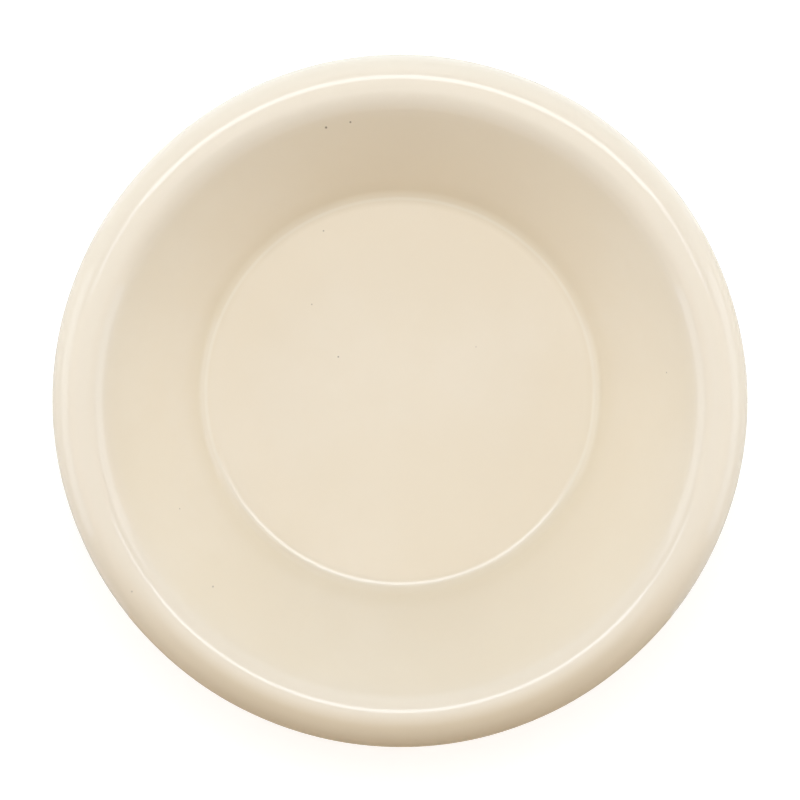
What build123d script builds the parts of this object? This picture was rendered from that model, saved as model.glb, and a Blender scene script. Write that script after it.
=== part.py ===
from build123d import *

import os
from math import cos, radians, sin, sqrt, tan

# Flat-bottomed evaporating dish: a fired ceramic body with a glaze fused over it.
#
# The dish is a solid of revolution about +Z. Its origin is the centre of the foot's contact face, and
# sizes are in millimetres. Three pieces make it up:
#   dish_body        the fired body, bare only where the foot stands on a bench
#   glaze_coat       the glaze over the inside, the rolled rim and the outer wall, down to the foot
#   foot_well_glaze  the separate patch of glaze inside the foot ring

# Overall size, over the glaze
RIM_DIAMETER = 115.0
HEIGHT = 32.0

# Rolled rim, wall and floor
RIM_ROLL_RADIUS = 5.0
UNDER_RIM_RADIUS = 3.0
WALL_SLOPE_DEG = 56.0
WALL_THICKNESS = 5.0
FLOOR_THICKNESS = 5.5
FLOOR_CORNER_RADIUS = 3.5

# Foot ring: its outer side runs up to the wall at FOOT_RISE, and its inner side rises FOOT_WELL_DEPTH
FOOT_RISE = 3.4
FOOT_WIDTH = 4.5
FOOT_EDGE_RADIUS = 1.0
FOOT_WELL_DEPTH = 2.0
FOOT_WELL_RADIUS = 0.8
HEEL_RADIUS = 2.5

# Glaze: its thickness, and how far up the foot it is wiped away before firing
GLAZE_THICKNESS = 0.3
BARE_FOOT_HEIGHT = 0.7


def on_circle(centre, radius, towards):
    """The point of a circle that lies in a direction from its centre."""
    return centre + towards.normalized() * radius


def shorter_arc(centre, radius, start, end):
    """The shorter arc of a circle between two points that lie on it."""
    middle = on_circle(centre, radius, start + end - centre * 2)
    return ThreePointArc(start, middle, end)


def rounded_path(points, radii):
    """Straight runs through the points, with each inner corner rounded to its own radius."""
    edges = []
    start = points[0]
    for before, corner, after, radius in zip(points, points[1:], points[2:], radii):
        back = (before - corner).normalized()
        ahead = (after - corner).normalized()
        half_angle = radians(back.get_angle(ahead) / 2)
        centre = on_circle(corner, radius / sin(half_angle), back + ahead)
        arc_start = corner + back * (radius / tan(half_angle))
        arc_end = corner + ahead * (radius / tan(half_angle))
        edges.append(Line(start, arc_start))
        edges.append(shorter_arc(centre, radius, arc_start, arc_end))
        start = arc_end
    edges.append(Line(start, points[-1]))
    return edges


def wall_radius_at(height, wall_point):
    """The radius at which the straight wall line through a point crosses a height."""
    return wall_point.X + (height - wall_point.Y) / tan(radians(WALL_SLOPE_DEG))


def dish_section(inset):
    """Half section of the dish in radius and height, set in all round from the glazed surface."""
    slope = radians(WALL_SLOPE_DEG)
    up_wall = Vector(cos(slope), sin(slope))
    outward = Vector(sin(slope), -cos(slope))

    # Rolled rim: a round bead, tangent to the wall's inside and ending in the hollow under it
    roll_centre = Vector(RIM_DIAMETER / 2 - RIM_ROLL_RADIUS, HEIGHT - RIM_ROLL_RADIUS)
    roll_radius = RIM_ROLL_RADIUS - inset
    roll_inner = roll_centre - outward * roll_radius

    # Hollow under the rim: tangent to the bead and to the outer wall
    hollow_radius = UNDER_RIM_RADIUS + inset
    hollow_offset = WALL_THICKNESS - RIM_ROLL_RADIUS - inset + hollow_radius
    hollow_drop = sqrt((roll_radius + hollow_radius) ** 2 - hollow_offset**2)
    hollow_centre = roll_centre + outward * hollow_offset - up_wall * hollow_drop
    roll_outer = on_circle(roll_centre, roll_radius, hollow_centre - roll_centre)
    wall_top = hollow_centre - outward * hollow_radius

    # Inside: flat floor, rounded corner and straight wall up to the bead
    floor_top = FOOT_WELL_DEPTH + FLOOR_THICKNESS - inset
    floor_centre = Vector(0, floor_top)
    floor_corner = Vector(wall_radius_at(floor_top, roll_inner), floor_top)
    inside = rounded_path([floor_centre, floor_corner, roll_inner], [FLOOR_CORNER_RADIUS + inset])
    bead_top = on_circle(roll_centre, roll_radius, Vector(1, 1))
    bead = ThreePointArc(roll_inner, bead_top, roll_outer)
    hollow = shorter_arc(hollow_centre, hollow_radius, roll_outer, wall_top)

    # Outside: wall down to the heel, the foot ring and the well inside it
    outer_wall = roll_centre + outward * (WALL_THICKNESS - RIM_ROLL_RADIUS)
    foot_radius = wall_radius_at(FOOT_RISE, outer_wall)
    outer_side = foot_radius - inset
    inner_side = foot_radius - FOOT_WIDTH + inset
    heel = Vector(outer_side, wall_top.Y - (wall_top.X - outer_side) * tan(slope))
    well_top = FOOT_WELL_DEPTH + inset
    well_centre = Vector(0, well_top)
    foot_edge_radius = FOOT_EDGE_RADIUS - inset
    outside = rounded_path(
        [
            wall_top,
            heel,
            Vector(outer_side, inset),
            Vector(inner_side, inset),
            Vector(inner_side, well_top),
            well_centre,
        ],
        [HEEL_RADIUS + inset, foot_edge_radius, foot_edge_radius, FOOT_WELL_RADIUS + inset],
    )
    axis_line = Line(well_centre, floor_centre)
    return make_face([*inside, bead, hollow, *outside, axis_line])


def turned(section):
    """A half section turned about the dish's axis."""
    return revolve(Plane.XZ * section, axis=Axis.Z)


def write_part(name, shape):
    export_step(shape, f"parts/{name}.step")
    print(f"{name}: {len(shape.solids())} solid, {shape.volume:.0f} mm3")


def main():
    glazed = dish_section(0.0)
    bare_band = Pos(RIM_DIAMETER / 4, BARE_FOOT_HEIGHT / 2) * Rectangle(RIM_DIAMETER / 2, BARE_FOOT_HEIGHT)
    body = dish_section(GLAZE_THICKNESS) + (glazed & bare_band)
    well_glaze, coat = sorted((glazed - body).faces(), key=lambda face: face.area)

    os.makedirs("parts", exist_ok=True)
    write_part("dish_body", turned(body))
    write_part("glaze_coat", turned(coat))
    write_part("foot_well_glaze", turned(well_glaze))


main()
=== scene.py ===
from math import ceil, cos, pi, radians, sin, sqrt, tan

import bpy
from bpy.props import FloatProperty, FloatVectorProperty, IntProperty, PointerProperty
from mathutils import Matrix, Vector


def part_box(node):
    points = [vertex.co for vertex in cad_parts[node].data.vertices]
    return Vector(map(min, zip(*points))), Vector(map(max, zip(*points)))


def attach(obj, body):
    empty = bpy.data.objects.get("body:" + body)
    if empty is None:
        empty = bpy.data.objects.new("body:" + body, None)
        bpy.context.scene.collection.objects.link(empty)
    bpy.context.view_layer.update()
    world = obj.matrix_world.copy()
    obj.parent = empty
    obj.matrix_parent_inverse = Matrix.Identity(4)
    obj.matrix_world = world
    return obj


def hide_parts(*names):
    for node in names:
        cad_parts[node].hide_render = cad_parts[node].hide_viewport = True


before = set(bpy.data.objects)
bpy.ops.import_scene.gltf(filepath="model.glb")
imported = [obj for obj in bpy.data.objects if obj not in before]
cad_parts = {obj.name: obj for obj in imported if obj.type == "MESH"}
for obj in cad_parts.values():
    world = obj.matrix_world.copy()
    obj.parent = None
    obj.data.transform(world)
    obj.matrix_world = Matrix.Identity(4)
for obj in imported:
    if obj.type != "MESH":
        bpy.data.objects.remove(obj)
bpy.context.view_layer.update()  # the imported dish: its bodies, nodes and record

bl_info = {
    "name": "Evaporating dish",
    "version": (1, 0, 0),
    "blender": (4, 5, 0),
    "location": "3D View > Sidebar > Dish",
    "description": "Turns a flat-bottomed glazed evaporating dish piece by piece and lights it in a studio",
    "category": "Object",
}

MM = 0.001

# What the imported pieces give: the dish over its glaze, the body under it and the glaze in the foot well
COAT_LOW, COAT_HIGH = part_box("glaze_coat")
BODY_LOW, BODY_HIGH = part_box("dish_body")
WELL_LOW, WELL_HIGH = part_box("foot_well_glaze")
WARP_ROOM = 0.11 * MM  # kept free all round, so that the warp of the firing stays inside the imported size
RIM_RADIUS = (COAT_HIGH.x - COAT_LOW.x) / 2 - WARP_ROOM
RIM_HEIGHT = COAT_HIGH.z - WARP_ROOM
GLAZE_THICKNESS = COAT_HIGH.z - BODY_HIGH.z
FOOT_WELL_DEPTH = WELL_HIGH.z - GLAZE_THICKNESS
BARE_FOOT_HEIGHT = COAT_LOW.z


def srgb(hex_code):
    """An sRGB colour such as "#E9DCC4" as linear red, green, blue and an alpha of one."""
    values = [int(hex_code[i : i + 2], 16) / 255 for i in (1, 3, 5)]
    linear = [v / 12.92 if v <= 0.04045 else ((v + 0.055) / 1.055) ** 2.4 for v in values]
    return (*linear, 1.0)


# ---------------------------------------------------------------- what a user would change


class DishShape(bpy.types.PropertyGroup):
    roll_radius: FloatProperty(
        name="Rim roll radius",
        description="Radius of the rolled rim",
        default=5 * MM,
        unit="LENGTH",
    )
    roll_lean: FloatProperty(
        name="Roll lean",
        description="How far the roll's crest leans out, which makes its outer curve that much tighter",
        default=0.6 * MM,
        unit="LENGTH",
    )
    crest_width: FloatProperty(
        name="Crest width",
        description="Width of the level crest of the roll",
        default=1 * MM,
        unit="LENGTH",
    )
    shoulder_radius: FloatProperty(
        name="Shoulder radius",
        description="Radius from the crest to the slower curve inside",
        default=3.5 * MM,
        unit="LENGTH",
    )
    shoulder_turn: FloatProperty(
        name="Shoulder turn",
        description="Slope at which the shoulder passes to the slower curve",
        default=radians(22),
        subtype="ANGLE",
    )
    under_rim_radius: FloatProperty(
        name="Under-rim radius",
        description="Radius of the hollow between the roll and the outer wall",
        default=3 * MM,
        unit="LENGTH",
    )
    wall_slope: FloatProperty(
        name="Wall slope",
        description="Slope of the wall",
        default=radians(56),
        subtype="ANGLE",
    )
    wall_thickness: FloatProperty(
        name="Wall thickness",
        description="Thickness across the wall",
        default=5 * MM,
        unit="LENGTH",
    )
    floor_thickness: FloatProperty(
        name="Floor thickness",
        description="Thickness of the floor",
        default=5.5 * MM,
        unit="LENGTH",
    )
    floor_corner_radius: FloatProperty(
        name="Floor corner radius",
        description="Radius between the floor and the wall inside",
        default=3.5 * MM,
        unit="LENGTH",
    )
    foot_rise: FloatProperty(
        name="Foot rise",
        description="Height at which the foot's outer side meets the line of the wall",
        default=3.4 * MM,
        unit="LENGTH",
    )
    foot_width: FloatProperty(
        name="Foot width",
        description="Width of the foot ring",
        default=4.5 * MM,
        unit="LENGTH",
    )
    foot_edge_radius: FloatProperty(
        name="Foot edge radius",
        description="Rounding of the foot's two edges",
        default=1 * MM,
        unit="LENGTH",
    )
    foot_well_radius: FloatProperty(
        name="Foot well radius",
        description="Rounding where the foot's inner side meets the well",
        default=0.8 * MM,
        unit="LENGTH",
    )
    heel_radius: FloatProperty(
        name="Heel radius",
        description="Rounding where the outer wall meets the foot",
        default=2.5 * MM,
        unit="LENGTH",
    )
    glaze_lip: FloatProperty(
        name="Glaze lip",
        description="How far the glaze's edge stands proud of the bare foot",
        default=0.18 * MM,
        unit="LENGTH",
    )
    glaze_line_wander: FloatProperty(
        name="Glaze line wander",
        description="How far the edge of the glaze wanders up and down the foot",
        default=0.6 * MM,
        unit="LENGTH",
    )
    long_warp: FloatProperty(
        name="Long warp",
        description="Depth of the slow waves of the firing",
        default=0.22 * MM,
        unit="LENGTH",
    )
    short_warp: FloatProperty(
        name="Short warp",
        description="Depth of the short waves of the firing",
        default=0.06 * MM,
        unit="LENGTH",
    )
    steps_round: IntProperty(
        name="Steps round",
        description="Steps in one turn of the section",
        default=240,
        min=24,
    )


class DishFinish(bpy.types.PropertyGroup):
    glaze: FloatVectorProperty(
        name="Glaze",
        description="Cream glaze",
        default=srgb("#F1E6D2"),
        subtype="COLOR",
        size=4,
        min=0,
        max=1,
    )
    glaze_cloud: FloatVectorProperty(
        name="Clouded glaze",
        description="Glaze where it clouds",
        default=srgb("#EFE3CD"),
        subtype="COLOR",
        size=4,
        min=0,
        max=1,
    )
    glaze_thin: FloatVectorProperty(
        name="Thin glaze",
        description="Glaze drawn thin over the roll",
        default=srgb("#F0E5D2"),
        subtype="COLOR",
        size=4,
        min=0,
        max=1,
    )
    glaze_deep: FloatVectorProperty(
        name="Deep glaze",
        description="Glaze gathered in the corner of the floor",
        default=srgb("#E9DBC0"),
        subtype="COLOR",
        size=4,
        min=0,
        max=1,
    )
    # painted shade: a darker, warmer glaze colour for the front side of the rim, which faces away from the
    # lights
    front_rim_painted_shade: FloatVectorProperty(
        name="Drained glaze",
        description="Warmer glaze on the side of the rim where the dip drained",
        default=srgb("#E0CFB3"),
        subtype="COLOR",
        size=4,
        min=0,
        max=1,
    )
    # painted reflection: a paler glaze colour for a thin line round the edge of the floor
    painted_floor_reflection: FloatVectorProperty(
        name="Glaze on an edge",
        description="Glaze over the fine edge of the floor",
        default=srgb("#FAF3E4"),
        subtype="COLOR",
        size=4,
        min=0,
        max=1,
    )
    iron: FloatVectorProperty(
        name="Iron",
        description="Iron specks in glaze and clay",
        default=srgb("#5E452A"),
        subtype="COLOR",
        size=4,
        min=0,
        max=1,
    )
    bare_body: FloatVectorProperty(
        name="Bare body",
        description="Fired body where it has no glaze",
        default=srgb("#DCCDB2"),
        subtype="COLOR",
        size=4,
        min=0,
        max=1,
    )
    toasted: FloatVectorProperty(
        name="Toasted edge",
        description="Body and glaze along the edge of the glaze",
        default=srgb("#C8A67A"),
        subtype="COLOR",
        size=4,
        min=0,
        max=1,
    )
    bench_grey: FloatVectorProperty(
        name="Rubbed foot",
        description="Foot where it stands on the bench",
        default=srgb("#B8AD99"),
        subtype="COLOR",
        size=4,
        min=0,
        max=1,
    )


class Studio(bpy.types.PropertyGroup):
    camera_distance: FloatProperty(
        name="Camera distance",
        description="From the rim to the lens",
        default=1.0,
        unit="LENGTH",
    )
    camera_tilt: FloatProperty(
        name="Camera tilt",
        description="Lean from straight down",
        default=radians(4.8),
        subtype="ANGLE",
    )
    focal_length: FloatProperty(name="Focal length", description="Millimetres", default=272.2, unit="CAMERA")
    top_light: FloatProperty(
        name="Top diffuser",
        description="Radiance round the lens",
        default=1.0,
    )
    arc_light: FloatProperty(
        name="Arc light",
        description="Radiance of the arc behind",
        default=5.2,
    )
    arc_ends: FloatProperty(
        name="Arc ends",
        description="Radiance of the arc's two fainter ends",
        default=3.0,
    )
    upper_boxes: FloatProperty(
        name="Upper boxes",
        description="Radiance of the two high boxes",
        default=1.3,
    )
    lower_boxes: FloatProperty(
        name="Lower boxes",
        description="Radiance of the two low boxes",
        default=2.1,
    )
    front_boxes: FloatProperty(
        name="Front boxes",
        description="Radiance of the two front boxes",
        default=0.95,
    )
    back_wall: FloatProperty(
        name="Back wall",
        description="Radiance of the low wall behind",
        default=0.7,
    )
    back_card: FloatProperty(
        name="Back card",
        description="Radiance of the lit card behind",
        default=1.5,
    )
    room: FloatProperty(name="Room", description="Radiance of the room", default=0.02)
    sheen: FloatProperty(
        name="Room sheen",
        description="Radiance of the room as the gloss shows it",
        default=0.3,
    )
    backdrop: FloatProperty(
        name="Backdrop",
        description="Radiance of the pale backdrop",
        default=0.55,
    )


# ---------------------------------------------------------------- the dish's half section


def direction(angle):
    """A unit vector in the section plane (radius, height), anticlockwise from outwards."""
    return Vector((cos(angle), sin(angle)))


def rounded_corner(before, corner, after, radius):
    """Start, centre and end of the arc that rounds a corner between two straight runs."""
    back = (before - corner).normalized()
    ahead = (after - corner).normalized()
    half_angle = back.angle(ahead) / 2
    reach = radius / tan(half_angle)
    centre = corner + (back + ahead).normalized() * (radius / sin(half_angle))
    return corner + back * reach, centre, corner + ahead * reach


def line(end):
    """A straight stroke of a section to its end point."""
    return None, end


def arc(centre, end):
    """A round stroke of a section: its centre and its end point."""
    return centre, end


def section_points(shape, inset):
    """The named points of the half section, set in all round from the glazed surface."""
    p = {}
    slope = shape.wall_slope
    up_wall = direction(slope)
    outward = direction(slope - pi / 2)

    # the roll: a tight outer curve, a level crest, a shoulder, and a slower curve that ends on the wall
    outer_radius = shape.roll_radius - shape.roll_lean
    roll_centre = Vector((RIM_RADIUS - outer_radius, RIM_HEIGHT - outer_radius))
    p["crest_outer"] = Vector((roll_centre.x, RIM_HEIGHT - inset))
    p["crest_inner"] = Vector((roll_centre.x - shape.crest_width, RIM_HEIGHT - inset))
    shoulder_centre = Vector((p["crest_inner"].x, RIM_HEIGHT - shape.shoulder_radius))
    shoulder_end = direction(shape.shoulder_turn + pi / 2)
    p["shoulder_centre"] = shoulder_centre
    p["shoulder"] = shoulder_centre + shoulder_end * (shape.shoulder_radius - inset)

    round_centre = Vector((RIM_RADIUS - shape.roll_radius, RIM_HEIGHT - shape.roll_radius))
    wall_offset = (shoulder_centre - round_centre).dot(outward) + shape.roll_radius
    still_to_turn = cos(slope - shape.shoulder_turn)
    inner_radius = (wall_offset - shape.shoulder_radius * still_to_turn) / (1 - still_to_turn)
    p["roll_inner_centre"] = shoulder_centre + shoulder_end * (shape.shoulder_radius - inner_radius)
    p["roll_inner"] = p["roll_inner_centre"] - outward * (inner_radius - inset)

    roll_radius = outer_radius - inset
    hollow_radius = shape.under_rim_radius + inset
    outer_wall = p["roll_inner"] + outward * (shape.wall_thickness - inset)
    hollow_offset = (outer_wall - roll_centre).dot(outward) - inset + hollow_radius
    hollow_drop = sqrt((roll_radius + hollow_radius) ** 2 - hollow_offset**2)
    hollow_centre = roll_centre + outward * hollow_offset - up_wall * hollow_drop
    p["roll_centre"] = roll_centre
    p["hollow_centre"] = hollow_centre
    p["roll_side"] = roll_centre + Vector((roll_radius, 0))
    p["roll_outer"] = roll_centre + (hollow_centre - roll_centre).normalized() * roll_radius
    p["wall_top"] = hollow_centre - outward * hollow_radius

    floor_top = FOOT_WELL_DEPTH + shape.floor_thickness - inset
    roll_inner = p["roll_inner"]
    corner = Vector((roll_inner.x - (roll_inner.y - floor_top) / tan(slope), floor_top))
    p["floor_centre"] = Vector((0, floor_top))
    p["corner"] = rounded_corner(p["floor_centre"], corner, roll_inner, shape.floor_corner_radius + inset)

    foot_radius = outer_wall.x - (outer_wall.y - shape.foot_rise) / tan(slope)
    p["outer_side"] = foot_radius - inset
    p["inner_side"] = foot_radius - shape.foot_width + inset
    heel = Vector((p["outer_side"], p["wall_top"].y - (p["wall_top"].x - p["outer_side"]) * tan(slope)))
    p["heel"] = rounded_corner(p["wall_top"], heel, Vector((heel.x, 0)), shape.heel_radius + inset)

    well_top = FOOT_WELL_DEPTH + inset
    p["well_centre"] = Vector((0, well_top))
    well_corner = Vector((p["inner_side"], well_top))
    p["well"] = rounded_corner(
        Vector((p["inner_side"], 0)), well_corner, p["well_centre"], shape.foot_well_radius + inset
    )
    return p


def inside_to_foot(p, foot_height):
    """Strokes from the floor's centre up the wall, over the rim and down the outside to the foot's side."""
    return [
        line(p["corner"][0]),
        arc(p["corner"][1], p["corner"][2]),
        line(p["roll_inner"]),
        arc(p["roll_inner_centre"], p["shoulder"]),
        arc(p["shoulder_centre"], p["crest_inner"]),
        line(p["crest_outer"]),
        arc(p["roll_centre"], p["roll_side"]),
        arc(p["roll_centre"], p["roll_outer"]),
        arc(p["hollow_centre"], p["wall_top"]),
        line(p["heel"][0]),
        arc(p["heel"][1], p["heel"][2]),
        line(Vector((p["outer_side"], foot_height))),
    ]


def backwards(start, strokes):
    """The same strokes, from the point start, drawn back to it from their far end."""
    ends = [start] + [end for centre, end in strokes]
    centres = [centre for centre, end in strokes]
    return [(centre, end) for centre, end in zip(reversed(centres), reversed(ends[:-1]))]


# ---------------------------------------------------------------- modelling by hand

SEED = 1 * MM  # size of the plane that is merged to a section's first vertex
STRAIGHT_STEP = 1.9 * MM
ARC_STEP = 0.42 * MM
LEAST_ARC_STEPS = 4
MERGE_WITHIN = 0.002 * MM
SLIVER = 0.0005 * MM
CREASE = radians(50)

# The firing: the warp starts just above the bench and is whole a little higher, in slow and in short waves,
# and the edge of the glaze wanders in waves of its own
WARP_FROM = 1.5 * MM
WARP_EASES_OVER = 6 * MM
LONG_WAVE = 45 * MM
SHORT_WAVE = 14 * MM
LINE_WAVE = 8 * MM
LINE_REACH = 0.8 * MM


def start_at(name, point):
    """Begins a section: a small plane in the section's plane, merged to one vertex."""
    bpy.ops.object.select_all(action="DESELECT")
    bpy.ops.mesh.primitive_plane_add(size=SEED, location=(point.x, 0, point.y))
    bpy.context.object.name = name
    bpy.context.object.data.name = name
    bpy.ops.object.transform_apply(location=True, rotation=False, scale=False)
    bpy.ops.object.mode_set(mode="EDIT")
    bpy.ops.mesh.select_all(action="SELECT")
    bpy.ops.mesh.merge(type="CENTER")
    return bpy.context.object


def draw(start, strokes):
    """Extrudes the selected vertex along straight strokes and spins it round the round ones."""
    here = start
    for centre, end in strokes:
        if centre is None:
            step = end - here
            count = max(1, ceil(step.length / STRAIGHT_STEP))
            for _ in range(count):
                bpy.ops.mesh.extrude_vertices_move(
                    TRANSFORM_OT_translate={"value": (step.x / count, 0, step.y / count)}
                )
        else:
            turn = (end - centre).angle_signed(here - centre)
            count = max(LEAST_ARC_STEPS, ceil(abs(turn) * (end - centre).length / ARC_STEP))
            bpy.ops.mesh.spin(steps=count, angle=turn, center=(centre.x, 0, centre.y), axis=(0, 1, 0))
        here = end


def turn_on_wheel(steps):
    """Spins the drawn section one full turn about the dish's axis, and closes its seam and poles."""
    bpy.ops.mesh.select_all(action="SELECT")
    bpy.ops.mesh.spin(steps=steps, angle=2 * pi, center=(0, 0, 0), axis=(0, 0, 1))
    bpy.ops.mesh.select_all(action="SELECT")
    bpy.ops.mesh.remove_doubles(threshold=MERGE_WITHIN)
    bpy.ops.mesh.dissolve_degenerate(threshold=SLIVER)
    bpy.ops.mesh.select_all(action="SELECT")
    bpy.ops.mesh.normals_make_consistent(inside=False)
    bpy.ops.object.mode_set(mode="OBJECT")


def smooth(piece):
    """Shades a piece smooth, apart from its sharp edges."""
    bpy.ops.object.select_all(action="DESELECT")
    piece.select_set(True)
    bpy.context.view_layer.objects.active = piece
    bpy.ops.object.shade_smooth_by_angle(angle=CREASE)


def displace(piece, group, way, strength, scale, colour):
    """Moves a piece's vertices by clouds of a real size, as far as their weights in a group allow."""
    clouds = bpy.data.textures.new(piece.name + "_" + group, "CLOUDS")
    clouds.noise_scale = scale
    clouds.noise_depth = 1
    clouds.cloud_type = "COLOR" if colour else "GRAYSCALE"
    bpy.ops.object.modifier_add(type="DISPLACE")
    modifier = piece.modifiers[-1]
    modifier.texture = clouds
    modifier.texture_coords = "LOCAL"
    modifier.direction = way
    modifier.vertex_group = group
    modifier.strength = strength
    modifier.mid_level = 0.5
    bpy.ops.object.modifier_apply(modifier=modifier.name)


def weigh(piece, name, weight):
    """A vertex group whose weights follow from the height of each vertex."""
    group = piece.vertex_groups.new(name=name)
    for vertex in piece.data.vertices:
        group.add([vertex.index], weight(vertex.co.z), "REPLACE")


def fire(piece, shape):
    """Warps a piece as the kiln does: slow waves that leave the foot flat, and a glaze line that wanders."""
    line_height = BARE_FOOT_HEIGHT + GLAZE_THICKNESS / 2
    weigh(piece, "above_foot", lambda height: min(1.0, max(0.0, (height - WARP_FROM) / WARP_EASES_OVER)))
    weigh(piece, "glaze_line", lambda height: max(0.0, 1 - abs(height - line_height) / LINE_REACH))
    displace(piece, "glaze_line", "Z", shape.glaze_line_wander, LINE_WAVE, False)
    displace(piece, "above_foot", "RGB_TO_XYZ", shape.long_warp, LONG_WAVE, True)
    displace(piece, "above_foot", "RGB_TO_XYZ", shape.short_warp, SHORT_WAVE, True)
    piece.vertex_groups.clear()


def turned_piece(name, start, strokes, shape):
    """A closed solid turned from a half section that starts and ends on the axis, as it is once fired."""
    piece = start_at(name, start)
    draw(start, strokes)
    turn_on_wheel(shape.steps_round)
    smooth(piece)
    fire(piece, shape)
    return piece


# ---------------------------------------------------------------- materials

GLAZE_IOR = 1.5
BARE_ROUGHNESS = 0.8
# painted shade: how much darker the bare body is painted in the hollows of its grit
PAINTED_HOLLOW_SHADE = 0.82  # the bare body's colour in the hollows of its grit

# The larger iron specks, listed to 5 degrees and a millimetre: bearing in degrees clockwise from +Y,
# distance from the axis, height and size in millimetres, and strength
SPECKS = (
    (345, 47, 28, 0.45, 0.8),
    (350, 47, 28, 0.4, 0.7),
    (315, 21, 7.5, 0.3, 0.4),
    (300, 12, 7.5, 0.35, 0.55),
    (225, 44, 23, 0.35, 0.4),
    (235, 54, 32, 0.35, 0.35),
)
SPECK_DEPTH = 0.1  # heights count this much in a speck's reach, so it needs its height only roughly
BLEND = {"data_type": "RGBA"}  # a Mix of colours: its factor is input 0, its colours are 6 and 7
EASED = {"interpolation_type": "SMOOTHSTEP"}  # a Map Range: a value, its two limits and their two results


def new_material(name):
    """A material with its node tree, its shader and its object coordinates."""
    material = bpy.data.materials.new(name)
    material.use_nodes = True
    tree = material.node_tree
    shader = tree.nodes["Principled BSDF"]
    coords = tree.nodes.new("ShaderNodeTexCoord")
    return material, tree, shader, coords.outputs["Object"]


def add_node(tree, kind, output, settings=None, **inputs):
    """Adds a node with its settings and inputs, and returns one of its outputs.

    An input goes by its name, or by its number as i0, i1 and so on. A value is set on it and a socket is
    linked to it.
    """
    node = tree.nodes.new(kind)
    for name, value in (settings or {}).items():
        setattr(node, name, value)
    for name, value in inputs.items():
        target = node.inputs[int(name[1:]) if name[0] == "i" and name[1:].isdigit() else name]
        if isinstance(value, bpy.types.NodeSocket):
            tree.links.new(value, target)
        else:
            target.default_value = value
    return node.outputs[output]


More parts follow.
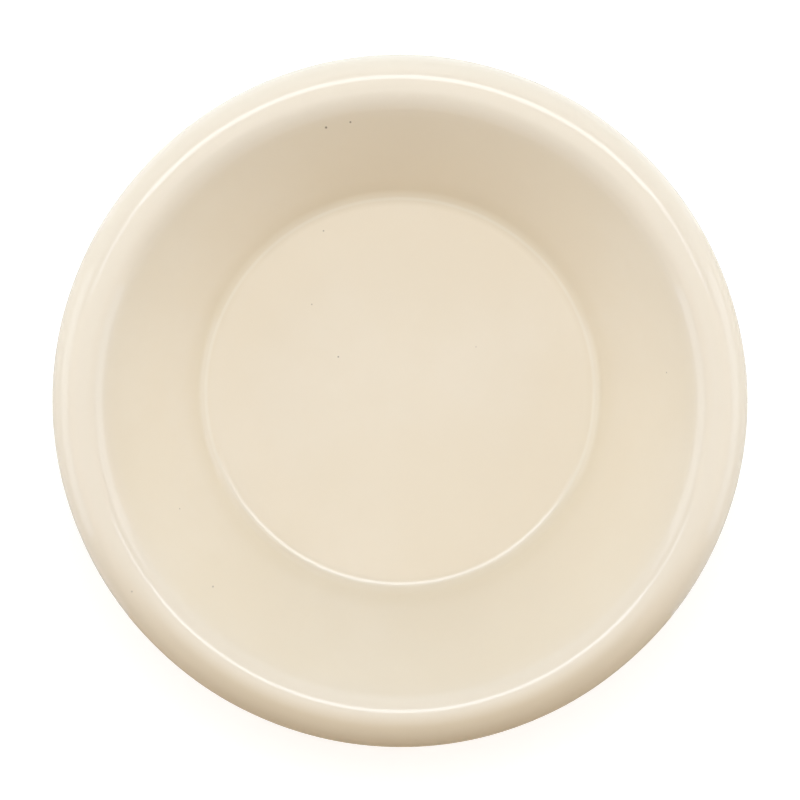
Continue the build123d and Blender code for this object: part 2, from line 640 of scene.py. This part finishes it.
def glazed(finish):
    """Clear cream glaze, dipped and fired on a pale body.

    It flows flat and shines like glass, clouds a little where the dip was uneven, gathers deeper in the corner
    of the floor, thins over the roll, and holds a few iron specks from the clay. Painted shade darkens the
    front of the rim, and a painted reflection runs round the floor's edge.
    """
    material, tree, shader, place = new_material("cream_glaze_dipped_and_fired")
    height = add_node(tree, "ShaderNodeSeparateXYZ", "Z", Vector=place)
    along_y = add_node(tree, "ShaderNodeSeparateXYZ", "Y", Vector=place)
    level = add_node(tree, "ShaderNodeVectorMath", "Vector", {"operation": "MULTIPLY"}, i0=place, i1=(1, 1, 0))
    radius = add_node(tree, "ShaderNodeVectorMath", "Value", {"operation": "LENGTH"}, i0=level)

    # uneven dipping: slow clouds about 30 mm across and finer ones about 5 mm across
    slow = add_node(tree, "ShaderNodeTexNoise", "Fac", Vector=place, Scale=1 / (30 * MM), Detail=2.0)
    slow = add_node(tree, "ShaderNodeMapRange", 0, EASED, i0=slow, i1=0.35, i2=0.65)
    fine = add_node(tree, "ShaderNodeTexNoise", "Fac", Vector=place, Scale=1 / (5 * MM), Detail=3.0)
    fine = add_node(tree, "ShaderNodeMapRange", 0, EASED, i0=fine, i1=0.3, i2=0.7, i3=0.0, i4=0.35)
    colour = add_node(tree, "ShaderNodeMix", 2, BLEND, i0=slow, i6=finish.glaze, i7=finish.glaze_cloud)
    colour = add_node(tree, "ShaderNodeMix", 2, BLEND, i0=fine, i6=colour, i7=finish.glaze_cloud)

    # thin over the roll
    thin = add_node(tree, "ShaderNodeMapRange", 0, EASED, i0=height, i1=27 * MM, i2=31.5 * MM, i3=0.0, i4=0.8)
    colour = add_node(tree, "ShaderNodeMix", 2, BLEND, i0=thin, i6=colour, i7=finish.glaze_thin)

    # painted shade: the rim darker and warmer on its front side, past the crest, from 15 to 53 mm off the axis,
    # where it faces away from the lights
    side = add_node(tree, "ShaderNodeMapRange", 0, EASED, i0=along_y, i1=-53 * MM, i2=-15 * MM, i3=1.25, i4=0.0)
    side = add_node(tree, "ShaderNodeMath", 0, {"operation": "MULTIPLY"}, i0=side, i1=thin)
    past_crest = add_node(tree, "ShaderNodeMapRange", 0, EASED, i0=radius, i1=51 * MM, i2=54 * MM)
    side = add_node(tree, "ShaderNodeMath", 0, {"operation": "MULTIPLY"}, i0=side, i1=past_crest)
    colour = add_node(tree, "ShaderNodeMix", 2, BLEND, i0=side, i6=colour, i7=finish.front_rim_painted_shade)

    # deep in the floor's corner, from 31 to 37 mm off the axis
    inner = add_node(tree, "ShaderNodeMapRange", 0, EASED, i0=radius, i1=31 * MM, i2=33.5 * MM)
    outer = add_node(tree, "ShaderNodeMapRange", 0, EASED, i0=radius, i1=34 * MM, i2=37 * MM, i3=0.35, i4=0.0)
    deep = add_node(tree, "ShaderNodeMath", 0, {"operation": "MULTIPLY"}, i0=inner, i1=outer)
    colour = add_node(tree, "ShaderNodeMix", 2, BLEND, i0=deep, i6=colour, i7=finish.glaze_deep)

    # a painted reflection: a pale line 0.5 mm wide round the floor, where the floor passes into its corner
    off_painted_line = add_node(tree, "ShaderNodeMath", 0, {"operation": "SUBTRACT"}, i0=radius, i1=32.7 * MM)
    off_painted_line = add_node(tree, "ShaderNodeMath", 0, {"operation": "ABSOLUTE"}, i0=off_painted_line)
    edge = add_node(
        tree, "ShaderNodeMapRange", 0, EASED, i0=off_painted_line, i1=0.05 * MM, i2=0.45 * MM, i3=0.35, i4=0.0
    )
    colour = add_node(tree, "ShaderNodeMix", 2, BLEND, i0=edge, i6=colour, i7=finish.painted_floor_reflection)

    # drawn up to a darker line at its own edge, on the foot
    toasted = add_node(tree, "ShaderNodeMapRange", 0, EASED, i0=height, i1=1 * MM, i2=1.8 * MM, i3=0.6, i4=0.0)
    colour = add_node(tree, "ShaderNodeMix", 2, BLEND, i0=toasted, i6=colour, i7=finish.toasted)

    # iron specks 0.2 to 0.5 mm across: scattered ones, and the larger ones
    speck = add_node(tree, "ShaderNodeTexVoronoi", "Distance", Vector=place, Scale=1 / (8 * MM))
    speck = add_node(tree, "ShaderNodeMapRange", 0, EASED, i0=speck, i1=0.014, i2=0.026, i3=0.45, i4=0.0)
    shrink = (1, 1, SPECK_DEPTH)
    low = add_node(tree, "ShaderNodeVectorMath", "Vector", {"operation": "MULTIPLY"}, i0=place, i1=shrink)
    for bearing, distance, above, across, strength in SPECKS:
        angle = radians(bearing)
        spot = (sin(angle) * distance * MM, cos(angle) * distance * MM, SPECK_DEPTH * above * MM)
        gap = add_node(tree, "ShaderNodeVectorMath", "Value", {"operation": "DISTANCE"}, i0=low, i1=spot)
        core, rim = 0.2 * across * MM, 0.6 * across * MM
        gap = add_node(tree, "ShaderNodeMapRange", 0, EASED, i0=gap, i1=core, i2=rim, i3=strength, i4=0.0)
        speck = add_node(tree, "ShaderNodeMath", 0, {"operation": "MAXIMUM"}, i0=speck, i1=gap)
    colour = add_node(tree, "ShaderNodeMix", 2, BLEND, i0=speck, i6=colour, i7=finish.iron)
    tree.links.new(colour, shader.inputs["Base Color"])

    # a liquid gloss with a faint orange peel about 2.5 mm across and slow ripples about 9 mm across
    peel = add_node(tree, "ShaderNodeTexNoise", "Fac", Vector=place, Scale=1 / (2.5 * MM), Detail=1.0)
    peel = add_node(tree, "ShaderNodeBump", "Normal", Height=peel, Distance=0.006 * MM)
    ripple = add_node(tree, "ShaderNodeTexNoise", "Fac", Vector=place, Scale=1 / (9 * MM), Detail=1.0)
    ripple = add_node(tree, "ShaderNodeBump", "Normal", Height=ripple, Distance=0.03 * MM, Normal=peel)
    tree.links.new(ripple, shader.inputs["Normal"])
    hazy = add_node(tree, "ShaderNodeTexNoise", "Fac", Vector=place, Scale=1 / (14 * MM), Detail=3.0)
    hazy = add_node(tree, "ShaderNodeMapRange", 0, EASED, i0=hazy, i1=0.35, i2=0.7, i3=0.04, i4=0.075)
    tree.links.new(hazy, shader.inputs["Roughness"])
    shader.inputs["IOR"].default_value = GLAZE_IOR
    return material


def bare_ceramic(finish):
    """Vitrified cream stoneware, wiped clean of glaze before firing.

    It is dry and a little gritty, with sand and iron in it, toasted along the edge of the glaze and rubbed grey
    where it stands on the bench.
    """
    material, tree, shader, place = new_material("bare_fired_stoneware")
    height = add_node(tree, "ShaderNodeSeparateXYZ", "Z", Vector=place)

    # grit about 0.5 mm across, with painted shade darkening its hollows
    grit = add_node(tree, "ShaderNodeTexNoise", "Fac", Vector=place, Scale=1 / (0.5 * MM), Detail=3.0)
    painted_grit_shade = add_node(tree, "ShaderNodeMapRange", 0, EASED, i0=grit, i1=0.35, i2=0.65)
    painted_hollow_colour = [value * PAINTED_HOLLOW_SHADE for value in finish.bare_body[:3]] + [1.0]
    colour = add_node(tree, "ShaderNodeMix", 2, BLEND, i0=painted_grit_shade, i6=finish.bare_body, i7=painted_hollow_colour)

    # toasted along the edge of the glaze
    toasted = add_node(
        tree, "ShaderNodeMapRange", 0, EASED, i0=height, i1=0.35 * MM, i2=0.85 * MM, i3=0.0, i4=0.7
    )
    colour = add_node(tree, "ShaderNodeMix", 2, BLEND, i0=toasted, i6=colour, i7=finish.toasted)

    # rubbed grey on the bench, in patches about 7 mm across
    low = add_node(tree, "ShaderNodeMapRange", 0, EASED, i0=height, i1=0.02 * MM, i2=0.2 * MM, i3=0.6, i4=0.0)
    patches = add_node(tree, "ShaderNodeTexNoise", "Fac", Vector=place, Scale=1 / (7 * MM), Detail=3.0)
    patches = add_node(tree, "ShaderNodeMapRange", 0, EASED, i0=patches, i1=0.35, i2=0.6, i3=0.4, i4=1.0)
    rubbed = add_node(tree, "ShaderNodeMath", 0, {"operation": "MULTIPLY"}, i0=low, i1=patches)
    colour = add_node(tree, "ShaderNodeMix", 2, BLEND, i0=rubbed, i6=colour, i7=finish.bench_grey)

    # iron in the clay, a grain about every 1.6 mm
    iron = add_node(tree, "ShaderNodeTexVoronoi", "Distance", Vector=place, Scale=1 / (1.6 * MM))
    iron = add_node(tree, "ShaderNodeMapRange", 0, EASED, i0=iron, i1=0.06, i2=0.12, i3=0.8, i4=0.0)
    colour = add_node(tree, "ShaderNodeMix", 2, BLEND, i0=iron, i6=colour, i7=finish.iron)
    tree.links.new(colour, shader.inputs["Base Color"])

    gritty = add_node(tree, "ShaderNodeBump", "Normal", Height=grit, Distance=0.04 * MM)
    tree.links.new(gritty, shader.inputs["Normal"])
    shader.inputs["Roughness"].default_value = BARE_ROUGHNESS
    return material


def dress(piece, material, node):
    """Gives a piece its material and its record slot, and puts it in place of its CAD node."""
    piece.data.materials.clear()
    piece.data.materials.append(material)
    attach(piece, "root")
    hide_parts(node)


# ---------------------------------------------------------------- the studio

MATT = 0.8  # roughness of the table and its cards
TABLE_SIZE = 12.0
TABLE_COLOUR = "#D8D8D6"
TABLE_GLOW = 0.55
CARD_HEIGHT = -0.5 * MM

# Cards under the table: name, azimuths in degrees, radii from the inner edge to the outer one, and tint
CARDS = (
    ("near_card", (-62, 62), (0.03, 0.075), "#F5F5F3"),
    ("back_card", (-62, 62), (0.075, 0.3, 0.9), "#F0F7FF"),
    ("right_card", (62, 130), (0.03, 0.3, 0.9), "#F5F5F3"),
    ("left_card", (-130, -62), (0.03, 0.3, 0.9), "#F5F5F3"),
    ("front_card", (130, 230), (0.03, 0.3, 0.9), "#D8C4A4"),
)
DOME_RADIUS = 0.9
DOME_STEP = radians(4)

# A low wall of light close behind the dish, which makes the light fall off towards the front
WALL_DISTANCE = 0.22
WALL_TALL = 0.16
WALL_AZIMUTHS = (-70, 70)

# The room that the gloss shows past the lights, and the pale backdrop that the lens sees past the table
SHEEN_RADIUS = 1.2
BACKDROP_DISTANCE = 5.8
BACKDROP_TALL = 4.0
ALL_ROUND = (-180, 180)
UPPER_HALF = (1, 90)

SENSOR_WIDTH = 36  # millimetres, a full frame
NEAR_CLIP = 0.01
AIM_BEHIND_AXIS = 0.33 * MM

# Soft lights on a dome: name, strength, azimuths from +Y and angles from straight up, in degrees
LIGHTS = (
    ("top_panel", "top_light", "#FFF5EA", (-180, 180), (1, 15)),
    ("arc", "arc_light", "#E8F3FF", (-62, 62), (16, 33)),
    ("arc_end_right", "arc_ends", "#E8F3FF", (62, 80), (18, 31)),
    ("arc_end_left", "arc_ends", "#E8F3FF", (-80, -62), (18, 31)),
    ("upper_box_right", "upper_boxes", "#FFEBD8", (80, 140), (16, 46)),
    ("upper_box_left", "upper_boxes", "#FFEBD8", (-140, -80), (16, 46)),
    ("lower_box_right", "lower_boxes", "#F4F9FF", (62, 118), (50, 82)),
    ("lower_box_left", "lower_boxes", "#F4F9FF", (-118, -62), (50, 82)),
    ("front_box_right", "front_boxes", "#FFE6C4", (118, 145), (52, 72)),
    ("front_box_left", "front_boxes", "#FFE6C4", (-145, -118), (52, 72)),
)


def compass(azimuth, radius, height):
    """A point at an azimuth from +Y, clockwise seen from above, a radius from the dish's axis and a height."""
    return Vector((sin(azimuth) * radius, cos(azimuth) * radius, height))


def on_dome(azimuth, polar):
    """A point of the studio's dome: azimuth from +Y, clockwise seen from above, and angle from straight up."""
    return compass(azimuth, sin(polar) * DOME_RADIUS, cos(polar) * DOME_RADIUS)


def even_steps(first, last):
    """Angles in degrees as radians, from the first to the last in even steps."""
    count = ceil(radians(last - first) / DOME_STEP)
    return [radians(first + (last - first) * i / count) for i in range(count + 1)]


def swept_panel(name, edge, azimuths):
    """A curved panel of the studio: a point drawn along an edge, and the edge spun about the dish's axis."""
    bpy.ops.object.select_all(action="DESELECT")
    bpy.ops.mesh.primitive_plane_add(size=SEED)
    panel = bpy.context.object
    panel.name = name
    bpy.ops.object.mode_set(mode="EDIT")
    bpy.ops.mesh.select_all(action="SELECT")
    bpy.ops.mesh.merge(type="CENTER")
    bpy.ops.transform.translate(value=edge[0])
    for here, there in zip(edge, edge[1:]):
        bpy.ops.mesh.extrude_vertices_move(TRANSFORM_OT_translate={"value": there - here})
    bpy.ops.mesh.select_all(action="SELECT")
    span = radians(azimuths[1] - azimuths[0])
    bpy.ops.mesh.spin(steps=ceil(span / DOME_STEP), angle=span, center=(0, 0, 0), axis=(0, 0, 1))
    bpy.ops.object.mode_set(mode="OBJECT")
    return panel


def hide_from_lens(panel):
    """A studio panel that lights or shades the dish but isn't seen itself."""
    panel.visible_camera = False
    panel.visible_shadow = False


def show_only_to_lens(scenery):
    """Scenery that the lens sees, and that neither lights nor shades the dish."""
    scenery.visible_diffuse = False
    scenery.visible_glossy = False
    scenery.visible_shadow = False


def emitter(name, radiance, tint):
    """The diffuser of a studio light: its radiance and its tint."""
    material = bpy.data.materials.new(name)
    material.use_nodes = True
    tree = material.node_tree
    tree.nodes.clear()
    glow = add_node(tree, "ShaderNodeEmission", "Emission", Color=srgb(tint), Strength=radiance)
    out = tree.nodes.new("ShaderNodeOutputMaterial")
    tree.links.new(glow, out.inputs["Surface"])
    return material


def add_table(studio):
    """The table as the lens sees it, and just under it the cards that light or shade the dish from below."""
    bpy.ops.object.select_all(action="DESELECT")
    bpy.ops.mesh.primitive_plane_add(size=TABLE_SIZE)
    table = bpy.context.object
    table.name = "studio_floor"
    material, tree, shader, place = new_material("white_table")
    shader.inputs["Base Color"].default_value = srgb(TABLE_COLOUR)
    shader.inputs["Roughness"].default_value = MATT
    shader.inputs["Emission Color"].default_value = srgb("#FFFFFF")
    shader.inputs["Emission Strength"].default_value = TABLE_GLOW
    table.data.materials.append(material)
    show_only_to_lens(table)
    for name, azimuths, radii, tint in CARDS:
        edge = [compass(radians(azimuths[0]), radius, CARD_HEIGHT) for radius in radii]
        card = swept_panel(name, edge, azimuths)
        if name == "back_card":
            card.data.materials.append(emitter(name + "_diffuser", studio.back_card, tint))
        else:
            material, tree, shader, place = new_material(name)
            shader.inputs["Base Color"].default_value = srgb(tint)
            shader.inputs["Roughness"].default_value = MATT
            card.data.materials.append(material)
        hide_from_lens(card)


# ---------------------------------------------------------------- operators


class DISH_OT_glaze_coat(bpy.types.Operator):
    """Turn the main coat of glaze, from the floor over the rim to the foot"""

    bl_idname = "dish.glaze_coat"
    bl_label = "Glaze coat"

    def execute(self, context):
        shape = context.scene.dish_shape
        over = section_points(shape, 0.0)
        under = section_points(shape, GLAZE_THICKNESS)
        lip = GLAZE_THICKNESS / 2
        edge_height = BARE_FOOT_HEIGHT + lip
        edge_centre = Vector((over["outer_side"] - lip, edge_height))
        outside = inside_to_foot(over, edge_height)
        inside = inside_to_foot(under, edge_height)
        edge = [
            arc(edge_centre, edge_centre - Vector((0, lip))),
            arc(edge_centre, edge_centre - Vector((lip, 0))),
        ]
        strokes = outside + edge + backwards(under["floor_centre"], inside)
        coat = turned_piece("glaze_coat_glossy", over["floor_centre"], strokes, shape)
        dress(coat, glazed(context.scene.dish_finish), "glaze_coat")
        return {"FINISHED"}


class DISH_OT_fired_body(bpy.types.Operator):
    """Turn the fired body with its bare foot ring"""

    bl_idname = "dish.fired_body"
    bl_label = "Fired body"

    def execute(self, context):
        shape = context.scene.dish_shape
        under = section_points(shape, GLAZE_THICKNESS)
        over = section_points(shape, 0.0)
        lip = shape.glaze_lip
        edge_radius = shape.foot_edge_radius - lip
        outer = over["outer_side"] - lip
        inner = over["inner_side"] + lip
        shoulder = BARE_FOOT_HEIGHT + GLAZE_THICKNESS / 2
        strokes = inside_to_foot(under, shoulder)
        foot = [
            line(Vector((outer, shoulder))),
            line(Vector((outer, edge_radius))),
            arc(Vector((outer - edge_radius, edge_radius)), Vector((outer - edge_radius, 0))),
            line(Vector((inner + edge_radius, 0))),
            arc(Vector((inner + edge_radius, edge_radius)), Vector((inner, edge_radius))),
            line(Vector((inner, shoulder))),
            line(Vector((under["inner_side"], shoulder))),
            line(under["well"][0]),
            arc(under["well"][1], under["well"][2]),
            line(under["well_centre"]),
        ]
        body = turned_piece("dish_body_fired", under["floor_centre"], strokes + foot, shape)
        dress(body, bare_ceramic(context.scene.dish_finish), "dish_body")
        return {"FINISHED"}


class DISH_OT_well_glaze(bpy.types.Operator):
    """Turn the patch of glaze inside the foot ring"""

    bl_idname = "dish.well_glaze"
    bl_label = "Foot well glaze"

    def execute(self, context):
        shape = context.scene.dish_shape
        over = section_points(shape, 0.0)
        under = section_points(shape, GLAZE_THICKNESS)
        lip = GLAZE_THICKNESS / 2
        edge_height = BARE_FOOT_HEIGHT + lip
        edge_centre = Vector((over["inner_side"] + lip, edge_height))
        strokes = [
            line(over["well"][2]),
            arc(over["well"][1], over["well"][0]),
            line(Vector((over["inner_side"], edge_height))),
            arc(edge_centre, edge_centre - Vector((0, lip))),
            arc(edge_centre, edge_centre + Vector((lip, 0))),
            line(under["well"][0]),
            arc(under["well"][1], under["well"][2]),
            line(under["well_centre"]),
        ]
        patch = turned_piece("foot_well_glaze_glossy", over["well_centre"], strokes, shape)
        dress(patch, bpy.data.materials["cream_glaze_dipped_and_fired"], "foot_well_glaze")
        return {"FINISHED"}


class DISH_OT_studio(bpy.types.Operator):
    """Set up the floor, the camera and the lights"""

    bl_idname = "dish.studio"
    bl_label = "Studio"

    def execute(self, context):
        studio = context.scene.dish_studio
        scene = context.scene
        scene.view_settings.view_transform = "Standard"

        add_table(studio)

        target = Vector((0, AIM_BEHIND_AXIS, RIM_HEIGHT - scene.dish_shape.roll_radius))
        tilt = studio.camera_tilt
        place = target + Vector((0, sin(tilt), cos(tilt))) * studio.camera_distance
        bpy.ops.object.camera_add(location=place, rotation=(-tilt, 0, 0))
        camera = context.object
        camera.data.lens = studio.focal_length
        camera.data.sensor_width = SENSOR_WIDTH
        camera.data.clip_start = NEAR_CLIP
        scene.camera = camera

        for name, strength, tint, azimuths, polars in LIGHTS:
            edge = [on_dome(radians(azimuths[0]), angle) for angle in even_steps(*polars)]
            light = swept_panel(name, edge, azimuths)
            light.data.materials.append(emitter(name + "_diffuser", getattr(studio, strength), tint))
            hide_from_lens(light)
        edge = [compass(radians(WALL_AZIMUTHS[0]), WALL_DISTANCE, height) for height in (0.0, WALL_TALL)]
        wall = swept_panel("back_wall", edge, WALL_AZIMUTHS)
        wall.data.materials.append(emitter("back_wall_diffuser", studio.back_wall, "#FFFFFF"))
        hide_from_lens(wall)

        angles = even_steps(*UPPER_HALF)
        edge = [compass(-pi, sin(angle) * SHEEN_RADIUS, cos(angle) * SHEEN_RADIUS) for angle in angles]
        sheen = swept_panel("room_sheen", edge, ALL_ROUND)
        sheen.data.materials.append(emitter("room_sheen_paint", studio.sheen, "#FFF8EE"))
        sheen.visible_diffuse = False
        hide_from_lens(sheen)
        edge = [compass(-pi, BACKDROP_DISTANCE, height) for height in (0.0, BACKDROP_TALL)]
        backdrop = swept_panel("backdrop", edge, ALL_ROUND)
        backdrop.data.materials.append(emitter("backdrop_paint", studio.backdrop, "#FFFFFF"))
        show_only_to_lens(backdrop)

        world = bpy.data.worlds.new("studio_room")
        scene.world = world
        world.use_nodes = True
        background = world.node_tree.nodes["Background"]
        background.inputs["Color"].default_value = srgb("#FFFFFF")
        background.inputs["Strength"].default_value = studio.room
        return {"FINISHED"}


class DISH_PT_panel(bpy.types.Panel):
    """Lists the dish's pieces and its studio"""

    bl_idname = "DISH_PT_panel"
    bl_label = "Evaporating dish"
    bl_space_type = "VIEW_3D"
    bl_region_type = "UI"
    bl_category = "Dish"

    def draw(self, context):
        for operator in OPERATORS:
            self.layout.operator(operator.bl_idname)


OPERATORS = (DISH_OT_fired_body, DISH_OT_glaze_coat, DISH_OT_well_glaze, DISH_OT_studio)
CLASSES = (DishShape, DishFinish, Studio, *OPERATORS, DISH_PT_panel)


def register():
    for item in CLASSES:
        bpy.utils.register_class(item)
    bpy.types.Scene.dish_shape = PointerProperty(type=DishShape)
    bpy.types.Scene.dish_finish = PointerProperty(type=DishFinish)
    bpy.types.Scene.dish_studio = PointerProperty(type=Studio)


def unregister():
    del bpy.types.Scene.dish_studio
    del bpy.types.Scene.dish_finish
    del bpy.types.Scene.dish_shape
    for item in reversed(CLASSES):
        bpy.utils.unregister_class(item)


def main():
    register()
    bpy.ops.dish.fired_body()
    bpy.ops.dish.glaze_coat()
    bpy.ops.dish.well_glaze()
    bpy.ops.dish.studio()


if __name__ == "__main__":
    main()
